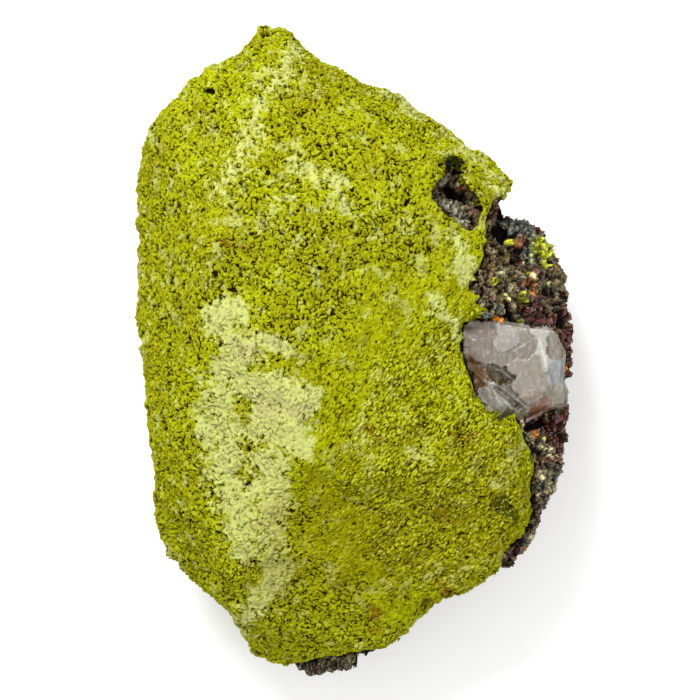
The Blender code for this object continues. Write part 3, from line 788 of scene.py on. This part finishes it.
# Its breaks: middles, height, rise per millimetre to the right and up, and colour
BREAKS = (
    ("grey corner", ((16.2, 2.2), (16.8, 0.2), (17.4, 1.8), (16.6, -0.9)), -0.1, (0.0, 0.0), (128, 117, 106)),
    ("plate", ((19.0, 1.6), (19.6, 0.4), (20.2, 1.4)), 0.12, (0.06, 0.04), (160, 156, 148)),
    ("shell", ((21.6, 2.3), (22.2, 1.6)), 0.0, (-0.05, 0.12), (148, 142, 126)),
    ("strip", ((18.6, -1.2), (20.2, -0.9), (21.8, -0.4), (22.8, 0.6)), -0.1, (0.0, 0.0), (134, 126, 114)),
    (
        "middle", ((20.8, -2.4), (22.4, -2.6), (22.8, -4.4), (21.8, -4.0), (24.0, -4.2), (23.4, -1.6)),
        0.0, (0.02, 0.02), (150, 142, 126),
    ),
    ("white band", ((23.9, 1.8), (24.2, 0.2), (24.6, -1.6)), 0.2, (0.1, 0.0), (190, 186, 178)),
    ("brown corner", ((25.6, 1.2), (25.6, -0.4)), -0.1, (-0.25, 0.05), (122, 106, 82)),
    ("blue corner", ((26.2, -2.4), (26.4, -3.8)), -0.2, (-0.35, 0.0), (134, 138, 140)),
    ("recess", ((17.8, -2.9), (18.8, -3.3), (19.5, -4.0)), -1.0, (-0.1, 0.25), (84, 68, 30)),
    ("stained edge", ((16.0, -2.6), (16.4, -3.8)), -0.8, (0.3, 0.2), (112, 82, 50)),
    ("lobe", ((17.6, -5.2), (18.6, -5.8), (19.4, -6.8), (18.6, -7.2)), -0.4, (0.1, 0.15), (154, 150, 142)),
    ("groove", ((19.4, -5.0), (20.4, -6.1), (21.2, -7.1)), -0.85, (0.2, 0.2), (106, 96, 84)),
    ("lower middle", ((21.0, -5.0), (22.0, -6.2), (23.2, -6.2)), -0.1, (0.05, 0.05), (144, 132, 114)),
    ("foot", ((20.4, -8.0), (22.0, -8.3)), -0.7, (0.1, 0.4), (112, 104, 80)),
    ("pink corner", ((24.6, -6.9), (23.6, -7.7), (22.9, -8.4)), -0.45, (0.2, 0.3), (132, 94, 74)),
    ("lower corner", ((26.0, -5.6), (27.0, -6.2), (26.4, -6.9)), -0.3, (-0.2, 0.1), (134, 126, 104)),
)

# Lines and spots on its breaks: colour, height, and from, to, radius and strength of each
GRAIN_MARKS = (
    ((132, 98, 60), -0.1, (((15.6, -2.4), (16.8, -3.2), 0.9, 1.0), ((15.9, -4.0), (16.4, -5.0), 0.5, 0.8))),
    ((116, 62, 10), 0.0, (((14.7, -0.9), (15.3, -1.6), 0.5, 1.0), ((16.0, -1.75), (17.2, -1.85), 0.12, 1.0))),
    ((84, 66, 14), -0.5, (((17.5, -2.5), (19.5, -4.1), 0.62, 1.0), ((17.3, -3.0), (18.4, -3.8), 0.5, 1.0))),
    # A painted shadow: the thin purple-grey line along the ledge beside the olive recess
    ((104, 90, 84), -0.2, (((18.2, -2.3), (19.9, -3.9), 0.32, 1.0),)),
    ((98, 88, 74), -0.5, (((18.3, -4.9), (19.3, -5.8), 0.42, 1.0), ((19.3, -5.8), (20.9, -7.1), 0.45, 1.0))),
    ((190, 186, 178), 0.12, (
        ((16.7, -4.0), (18.3, -4.5), 0.16, 1.0), ((18.3, -4.5), (20.1, -6.0), 0.14, 1.0),
        ((20.1, -6.0), (22.2, -7.4), 0.14, 1.0), ((17.3, -2.0), (18.9, -2.8), 0.12, 1.0),
        ((18.9, -2.8), (20.6, -4.1), 0.13, 1.0), ((17.2, -4.9), (17.6, -6.4), 0.25, 0.7),
        ((18.2, -5.8), (18.9, -7.2), 0.25, 0.7), ((19.4, -6.8), (20.4, -7.7), 0.16, 1.0),
        ((18.0, 1.0), (18.5, -0.3), 0.14, 1.0), ((20.6, -0.3), (22.0, 0.6), 0.14, 0.9),
        ((22.0, 2.8), (22.6, 1.4), 0.13, 1.0), ((22.9, 2.2), (23.4, 1.7), 0.26, 0.9),
    )),
    ((222, 219, 212), 0.15, (((23.9, 0.9), (24.2, -0.2), 0.45, 0.6), ((24.4, -0.6), (24.6, -2.2), 0.5, 0.7))),
    ((150, 96, 70), 0.0, (((24.7, -6.6), (23.0, -8.0), 0.45, 0.9),)),
)


def break_up(bm):
    """Lowers and tilts the grain's faces, and keeps their colours on its corners, with painted highlight
    along some borders between faces and a painted shadow line by one ledge.
    """
    facing = bm.verts.layers.float_vector["facing"]
    tint = bm.verts.layers.float_color.new("tint")
    middles = [(Vector(middle), i) for i, (_, spots, *_) in enumerate(BREAKS) for middle in spots]
    apart = Vector((3, 3, 3))
    for v in bm.verts:
        at = v.co / MM
        warp = Vector((noise.noise(at / 1.5), noise.noise(at / 1.5 + apart)))
        warp += 0.4 * Vector((noise.noise(at / 0.45), noise.noise(at / 0.45 + apart)))
        spot = at.xy + 0.35 * warp
        nearest = {}
        for middle, i in middles:
            nearest[i] = min(nearest.get(i, 99.0), (spot - middle).length)
        (near, first), (far, second) = sorted((away, i) for i, away in nearest.items())[:2]
        share = 0.5 * (1.0 - within(far - near, 0.0, 0.12))
        height, colour = 0.0, Vector((0.0, 0.0, 0.0))
        for weight, i in ((1.0 - share, first), (share, second)):
            _, spots, low, (right, up), shade = BREAKS[i]
            height += weight * (low + right * (at.x - spots[0][0]) + up * (at.y - spots[0][1]))
            colour += weight * Vector(paint(*shade)[:3])
        top = within(v[facing].z, 0.2, 0.6)
        scales = noise.voronoi(Vector((at.x / 1.1, at.y / 1.6, at.z / 2.0)))[0]
        ripple = noise.noise(Vector((at.x / 0.5, at.y / 1.5, at.z)))
        height += 0.06 * ripple + 0.16 * (0.5 - scales[0]) + 0.05 * noise.noise(at / 0.22)
        for shade, lift, marks in GRAIN_MARKS:
            cover = mark_at(marks, Vector((*(at.xy + 0.2 * warp), 0.0)), 0.3 * warp.x)
            cover *= within(v[facing].z, 0.0, 0.3)
            height += lift * cover
            colour = colour.lerp(Vector(paint(*shade)[:3]), 0.72 * cover)
        v.co.z += height * top * MM
        veil = within(noise.noise(Vector((at.x / 0.35, at.y / 0.9, at.z / 0.5))), 0.10, 0.5)
        # Painted highlight: paler in places along the borders between faces
        edge_highlight = (1.0 - within(far - near, 0.05, 0.3)) * within(noise.noise(at / 0.5), -0.1, 0.3)
        colour = colour.lerp(Vector(paint(210, 206, 198)[:3]), max(0.28 * veil, 0.5 * edge_highlight))
        v[tint] = (*colour, 1.0)


def milky_quartz():
    """Glassy quartz, cloudy with veils, that lets some light through."""
    material, shader = matt("milky quartz", roughness=0.22, specular=0.5)
    where = place(material)
    cloud = ramp(material, grain(material, where, 0.9, 4.0, 0.6), 0.35, 0.68)
    sparkle = ramp(material, grain(material, where, 0.22, 2.0, 0.6), 0.62, 0.72)
    colour = blend(material, times(material, cloud, 0.25), tinted(material, "tint"), paint(112, 102, 88))
    colour = blend(material, times(material, sparkle, 0.4), colour, paint(222, 220, 214))
    material.node_tree.links.new(colour, shader.inputs["Base Color"])
    material.node_tree.links.new(spread(material, cloud, 0.14, 0.40), shader.inputs["Roughness"])
    shader.inputs["IOR"].default_value = 1.54
    shader.inputs["Transmission Weight"].default_value = 0.15
    bump = node(material, "ShaderNodeBump", {"Strength": 0.35, "Distance": 0.10 * MM, "Height": cloud})
    material.node_tree.links.new(bump.outputs["Normal"], shader.inputs["Normal"])
    return material


quartz = evenly_meshed(joined_copy("quartz_grain"), GRAIN_STEP, rounds=1)
note_visible(quartz, (trees["matrix_rock"], trees["nontronite_crust"]), GRAIN_HIDDEN)
refine(quartz, 1, lambda at, facing, shown: shown and at.z > GRAIN_SIDE)
break_up(quartz)
finish(add_object("quartz", quartz), milky_quartz(), "quartz_grain")
